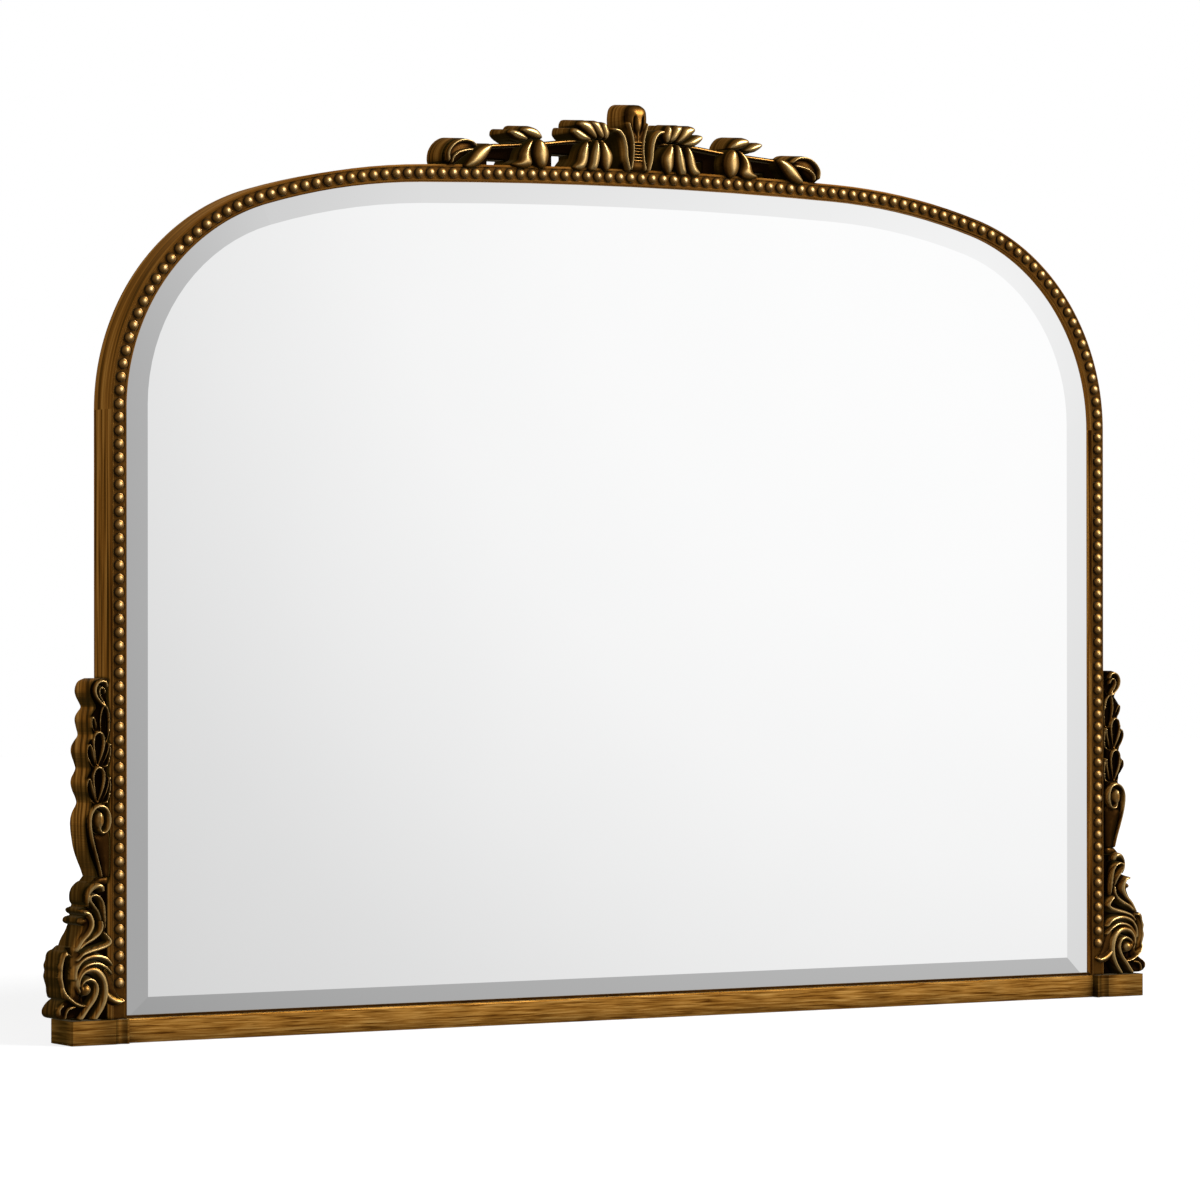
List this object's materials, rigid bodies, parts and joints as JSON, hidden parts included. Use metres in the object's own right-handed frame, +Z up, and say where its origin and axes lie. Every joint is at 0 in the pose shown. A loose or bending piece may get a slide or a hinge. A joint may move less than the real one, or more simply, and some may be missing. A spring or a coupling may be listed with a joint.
{
  "type": "arched wall mirror",
  "caption": "Arched overmantel wall mirror with a beaded antique gold frame, leaf crest, scroll side ornaments, bevelled glass and ring hangers.",
  "frame": {"origin": "middle of the lower back edge of the base, on the wall plane", "axes": "+X to the right seen from the front, +Y towards the wall, +Z up"},
  "size_m": [1.2694, 0.046, 0.9132],
  "materials": {
    "gilt_frame": "antique bronze gold leaf over wood, brushed along the member",
    "gilt_beads": "antique gold leaf, polished tops, dark round the foot",
    "gilt_ornament": "cast composition, antique gold leaf, dark in the hollows",
    "silvered_glass": "silvered float glass with a polished bevel",
    "birch_ply": "plain birch plywood",
    "pine_fillet": "planed pine",
    "beech_peg": "turned beech",
    "setting_rubber": "matt black rubber",
    "zinc_steel": "zinc plated steel"
  },
  "bodies": {
    "frame": {"left_stile": "gilt_frame", "right_stile": "gilt_frame", "left_shoulder": "gilt_frame", "right_shoulder": "gilt_frame", "crown_rail": "gilt_frame", "bottom_rail": "gilt_frame", "left_plinth_block": "gilt_frame", "right_plinth_block": "gilt_frame", "bottom_slip": "gilt_frame", "left_stile_beads": "gilt_beads", "right_stile_beads": "gilt_beads", "left_shoulder_beads": "gilt_beads", "right_shoulder_beads": "gilt_beads", "crown_beads": "gilt_beads", "crest_cartouche": "gilt_ornament", "left_crest_spray": "gilt_ornament", "right_crest_spray": "gilt_ornament", "left_husk_drop": "gilt_ornament", "right_husk_drop": "gilt_ornament", "left_scroll_bracket": "gilt_ornament", "right_scroll_bracket": "gilt_ornament", "mirror_glass": "silvered_glass", "backing_board": "birch_ply", "left_back_fillet": "pine_fillet", "right_back_fillet": "pine_fillet", "left_shoulder_fillet": "pine_fillet", "right_shoulder_fillet": "pine_fillet", "crown_fillet": "pine_fillet", "bottom_fillet": "pine_fillet", "stile_foot_dowels": "beech_peg", "stile_head_dowels": "beech_peg", "crown_dowels": "beech_peg", "rail_dowels": "beech_peg", "crest_pins": "beech_peg", "side_ornament_pins": "beech_peg", "setting_blocks": "setting_rubber", "left_hanger_strap": "zinc_steel", "right_hanger_strap": "zinc_steel", "hanger_screws": "zinc_steel", "fillet_screws": "zinc_steel"},
    "left_ring": {"left_hanger_ring": "zinc_steel"},
    "right_ring": {"right_hanger_ring": "zinc_steel"}
  },
  "joints": [
    {"name": "left_ring_swing", "type": "hinge", "parent": "frame", "child": "left_ring", "pos_m": [-0.3, -0.0104, 0.64], "axis": [1, 0, 0], "range_deg": [0, 180]},
    {"name": "right_ring_swing", "type": "hinge", "parent": "frame", "child": "right_ring", "pos_m": [0.3, -0.0104, 0.64], "axis": [1, 0, 0], "range_deg": [0, 180]}
  ]
}
